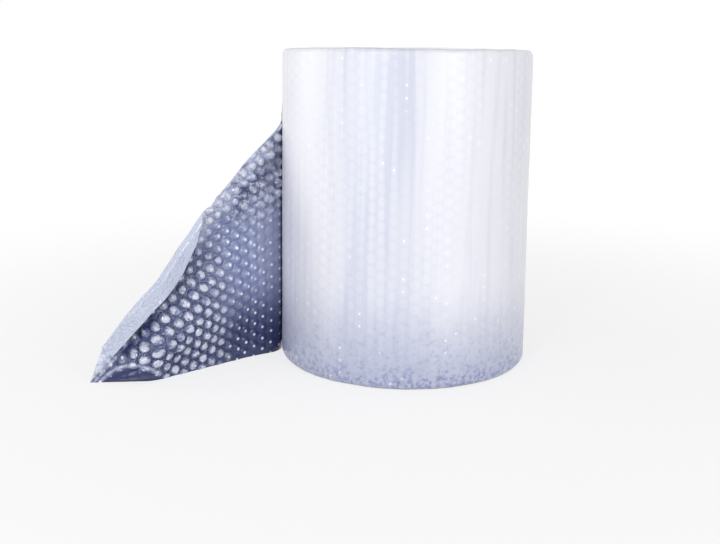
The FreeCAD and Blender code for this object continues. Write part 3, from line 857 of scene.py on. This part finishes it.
def single_material(sizes, colours):
    nodes = Nodes("single film")
    spot = nodes.add("TexCoord").outputs["Object"]
    dome = nodes.add("Attribute", {"attribute_name": "dome"}).outputs["Fac"]
    curled = nodes.add("Attribute", {"attribute_name": "curled"}).outputs["Fac"]
    deep, pale, clear, rumple, near = (
        nodes.add("Attribute", {"attribute_name": name}).outputs["Fac"] for name in TONES
    )
    # where the bubbles stand out the painted shade shows only between them
    lot = nodes.add("Attribute", {"attribute_name": "lot"}).outputs["Fac"]
    foot = nodes.ramp(dome, 0.62, 0.12)
    shown = nodes.math("ADD", nodes.math("MULTIPLY", clear, foot), nodes.math("SUBTRACT", 1.0, clear))
    colour = nodes.mix(nodes.math("MULTIPLY", deep, shown), rgba(colours.single), rgba(colours.single_shade))
    # painted light: paler along the crest, the ridges and the upper film near the roll
    colour = nodes.mix(nodes.math("MULTIPLY", pale, 0.6), colour, rgba(colours.crest))
    # painted light and painted shade in patches over the rumpled film
    blot = nodes.noise(spot, 190.0, 3.0, 0.65)
    rough = nodes.noise(spot, 120.0, 4.0, 0.72)
    dark = nodes.math("MULTIPLY", nodes.ramp(rough, 0.50, 0.38), nodes.math("MULTIPLY", rumple, 0.75))
    colour = nodes.mix(dark, colour, rgba(colours.single_shade))
    light = nodes.math("MULTIPLY", nodes.ramp(rough, 0.53, 0.63), nodes.math("MULTIPLY", rumple, 0.80))
    colour = nodes.mix(light, colour, rgba(colours.cap_highlight))
    # painted highlights on the bubbles' caps, ragged and uneven in brightness
    ragged = nodes.math("ADD", nodes.times(blot, 1.60), nodes.times(lot, 0.35))
    top = nodes.ramp(nodes.math("ADD", nodes.times(dome, 0.65), ragged), 1.32, 1.60)
    colour = nodes.mix(nodes.times(top, clear, 0.92), colour, rgba(colours.cap_highlight))
    # elsewhere each bubble gets one small painted glint
    uneven = nodes.math("MAXIMUM", clear, rumple)
    plain = nodes.rest(nodes.math("MAXIMUM", uneven, nodes.ramp(deep, 0.96, 1.0)))
    painted_glint = nodes.times(nodes.ramp(dome, 0.955, 0.980), plain, nodes.ramp(lot, 0.10, 0.60))
    colour = nodes.mix(painted_glint, colour, rgba(colours.cap_highlight))
    net = nodes.math("MULTIPLY", nodes.ramp(dome, 0.35, 0.0), 0.25)
    side = nodes.mix(net, rgba(colours.flat_side), rgba(colours.single))
    colour = nodes.mix(nodes.math("MULTIPLY", curled, 0.95), colour, side)
    # from behind the bubbles show through the flat side as paler rounds
    place = nodes.add("UVMap", {"uv_map": "film"}).outputs[0]
    flat = nodes.add("Attribute", {"attribute_name": "flat_side"}).outputs["Fac"]
    away = bubble_distance(nodes, place, sizes.bubble_pitch)
    rounds = nodes.ramp(away, sizes.bubble_width * 0.50, sizes.bubble_width * 0.34)
    rounds = nodes.math("MULTIPLY", nodes.math("MULTIPLY", rounds, flat), nodes.ramp(blot, 0.25, 0.75))
    colour = nodes.mix(nodes.math("MULTIPLY", rounds, 0.42), colour, rgba(colours.crest))
    colour = nodes.mix(near, colour, wound_colour(nodes, place, spot, sizes, colours)[0])
    # small creases in the bubbles' skins, sharpest where the film is crumpled, with painted highlights along them
    pushed = nodes.vector("SCALE", nodes.add("TexNoise", Vector=spot, Scale=90.0).outputs[1])
    pushed.inputs["Scale"].default_value = 0.006
    bent = nodes.vector("ADD", spot, pushed)
    creased = nodes.add("TexVoronoi", {"feature": "DISTANCE_TO_EDGE"}, Vector=bent, Scale=190.0)
    crease_highlight = nodes.times(nodes.ramp(creased, 0.07, 0.0), uneven, 0.45)
    crease_highlight = nodes.times(crease_highlight, nodes.rest(nodes.math("MAXIMUM", curled, flat)))
    colour = nodes.mix(crease_highlight, colour, rgba(colours.crest))
    relief = nodes.math("ADD", nodes.noise(spot, 330.0, 3.0, 0.6), nodes.ramp(creased, 0.0, 0.22))
    relief = nodes.math("MULTIPLY", relief, nodes.math("ADD", nodes.math("MULTIPLY", clear, 0.9), 0.15))
    bump = nodes.add("Bump", Strength=0.8, Distance=0.0008, Height=relief)
    dull = nodes.math("MAXIMUM", deep, near)
    gloss = nodes.rest(nodes.times(dull, 0.80))
    shine = nodes.math("SUBTRACT", 0.5, nodes.math("MULTIPLY", dull, 0.20))
    shader = nodes.add(
        "BsdfPrincipled", Base_Color=colour, Roughness=0.26, IOR=1.5, Normal=bump, Specular_IOR_Level=shine,
        Coat_Weight=gloss, Coat_Roughness=0.07, Coat_IOR=1.6,
    )
    nodes.add("OutputMaterial", Surface=shader)
    return nodes.material


def floor_material(stage):
    """Pale floor that keeps the roll's shadow and runs out to the white of the background."""
    nodes = Nodes("pale floor")
    spot = nodes.add("TexCoord").outputs["Object"]
    away = nodes.vector("LENGTH", spot).outputs["Value"]
    lit = nodes.add("BsdfDiffuse", Color=rgba(stage.floor))
    plain = nodes.add("Emission", Color=(1, 1, 1, 1), Strength=1.0)
    rays = nodes.add("LightPath")
    seen = nodes.math("MAXIMUM", rays.outputs["Is Camera Ray"], rays.outputs["Is Glossy Ray"])
    seen = nodes.math("MAXIMUM", seen, rays.outputs["Is Transmission Ray"])
    share = nodes.times(nodes.math("ADD", nodes.times(nodes.ramp(away, 0.15, 1.0), 0.25), 0.75), seen)
    both = nodes.add("MixShader", i0=share, i1=lit, i2=plain)
    nodes.add("OutputMaterial", Surface=both)
    return nodes.material


# ---------------------------------------------------------------- operators


class FILM_OT_wound_turns(bpy.types.Operator):
    """Builds the wound turns of the roll"""

    bl_idname = "film_roll.wound_turns"
    bl_label = "Wound turns"

    def execute(self, context):
        sizes, colours = context.scene.film_sizes, context.scene.film_colours
        piece = piece_from(wound_mesh(sizes), "wound_turns")
        for material in (wound_material(sizes, colours), edge_material(sizes, colours)):
            piece.data.materials.append(material)
        piece.data.materials.append(piece.data.materials[0])
        bpy.ops.object.shade_smooth_by_angle(angle=math.radians(50))
        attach(piece, "root")
        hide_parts(NODE)
        return {"FINISHED"}


class FILM_OT_loose_end(bpy.types.Operator):
    """Builds the loose end with its bubbles, folds and curled edge"""

    bl_idname = "film_roll.loose_end"
    bl_label = "Loose end"

    def execute(self, context):
        sizes, colours = context.scene.film_sizes, context.scene.film_colours
        mesh, flat_area = loose_mesh(sizes)
        piece = piece_from(mesh, "loose_end")
        piece.data.materials.append(single_material(sizes, colours))
        bpy.ops.object.shade_smooth_by_angle(angle=math.radians(60))
        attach(piece, "root")
        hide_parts(NODE)
        return {"FINISHED"}


def tall_lamp(name, place, aim, width, height, power, colour=(1, 1, 1)):
    data = bpy.data.lights.new(name, "AREA")
    data.shape, data.size, data.size_y = "RECTANGLE", width, height
    data.energy, data.color = power, colour
    lamp = bpy.data.objects.new(name, data)
    bpy.context.scene.collection.objects.link(lamp)
    way = Vector(aim) - Vector(place)
    lamp.matrix_world = Matrix.Translation(place) @ way.to_track_quat("-Z", "Y").to_matrix().to_4x4()
    return lamp


class FILM_OT_stage(bpy.types.Operator):
    """Sets the floor, the lamps, the sky and the camera"""

    bl_idname = "film_roll.stage"
    bl_label = "Stage"

    def execute(self, context):
        stage = context.scene.film_stage
        for item in context.selected_objects:
            item.select_set(False)
        bpy.ops.mesh.primitive_circle_add(vertices=96, radius=6.0, fill_type="NGON", location=(0, 0, -0.0002))
        floor = context.active_object
        floor.name = "floor"
        floor.data.materials.append(floor_material(stage))
        tall_lamp("key", (1.25, -1.60, 0.75), (0, 0, 0.15), 0.5, 1.3, stage.key)
        tall_lamp("glint", (-0.75, -1.70, 1.15), (-0.1, 0, 0.12), 0.16, 0.16, stage.glint)
        tall_lamp("side", (-1.9, 0.25, 0.6), (0, 0, 0.15), 0.6, 1.2, stage.side)
        tall_lamp("front", (-1.05, -1.70, 0.50), (-0.05, 0, 0.15), 0.7, 1.0, stage.front)
        world = bpy.data.worlds.new("even sky")
        context.scene.world = world
        world.use_nodes = True
        tree = world.node_tree
        tree.nodes.clear()
        rays = tree.nodes.new("ShaderNodeLightPath")
        even = tree.nodes.new("ShaderNodeBackground")
        even.inputs["Color"].default_value = (0.97, 0.98, 1.0, 1)
        even.inputs["Strength"].default_value = stage.sky
        white = tree.nodes.new("ShaderNodeBackground")
        white.inputs["Color"].default_value = (1, 1, 1, 1)
        seen = tree.nodes.new("ShaderNodeMath")
        seen.operation = "MAXIMUM"
        also = tree.nodes.new("ShaderNodeMath")
        also.operation = "MAXIMUM"
        tree.links.new(rays.outputs["Is Camera Ray"], seen.inputs[0])
        tree.links.new(rays.outputs["Is Glossy Ray"], seen.inputs[1])
        tree.links.new(seen.outputs[0], also.inputs[0])
        tree.links.new(rays.outputs["Is Transmission Ray"], also.inputs[1])
        choose = tree.nodes.new("ShaderNodeMixShader")
        out = tree.nodes.new("ShaderNodeOutputWorld")
        tree.links.new(also.outputs[0], choose.inputs[0])
        tree.links.new(even.outputs[0], choose.inputs[1])
        tree.links.new(white.outputs[0], choose.inputs[2])
        tree.links.new(choose.outputs[0], out.inputs[0])
        context.scene.view_settings.view_transform = "Standard"

        data = bpy.data.cameras.new("camera")
        data.lens = 44.64
        data.shift_y = -0.125
        camera = bpy.data.objects.new("camera", data)
        context.scene.collection.objects.link(camera)
        camera.matrix_world = (
            Matrix.Translation((-0.04334, -0.88119, 0.28099))
            @ Matrix.Rotation(math.pi / 2 - 0.12474, 4, "X")
            @ Matrix.Rotation(0.01129, 4, "Z")
        )
        context.scene.camera = camera
        return {"FINISHED"}


class FILM_PT_panel(bpy.types.Panel):
    """Lists the steps that build the roll"""

    bl_idname = "FILM_PT_panel"
    bl_label = "Film roll"
    bl_space_type = "VIEW_3D"
    bl_region_type = "UI"
    bl_category = "Film roll"

    def draw(self, context):
        for step in STEPS_IN_ORDER:
            self.layout.operator(step)
        for group in (context.scene.film_sizes, context.scene.film_colours, context.scene.film_stage):
            for name in group.__annotations__:
                self.layout.prop(group, name)


STEPS_IN_ORDER = ("film_roll.wound_turns", "film_roll.loose_end", "film_roll.stage")
CLASSES = (
    FilmSizes, FilmColours, StageSettings,
    FILM_OT_wound_turns, FILM_OT_loose_end, FILM_OT_stage, FILM_PT_panel,
)


def register():
    for item in CLASSES:
        bpy.utils.register_class(item)
    bpy.types.Scene.film_sizes = PointerProperty(type=FilmSizes)
    bpy.types.Scene.film_colours = PointerProperty(type=FilmColours)
    bpy.types.Scene.film_stage = PointerProperty(type=StageSettings)


def unregister():
    for name in ("film_sizes", "film_colours", "film_stage"):
        delattr(bpy.types.Scene, name)
    for item in reversed(CLASSES):
        bpy.utils.unregister_class(item)


def main():
    register()
    bpy.ops.film_roll.wound_turns()
    bpy.ops.film_roll.loose_end()
    bpy.ops.film_roll.stage()


if __name__ == "__main__":
    main()
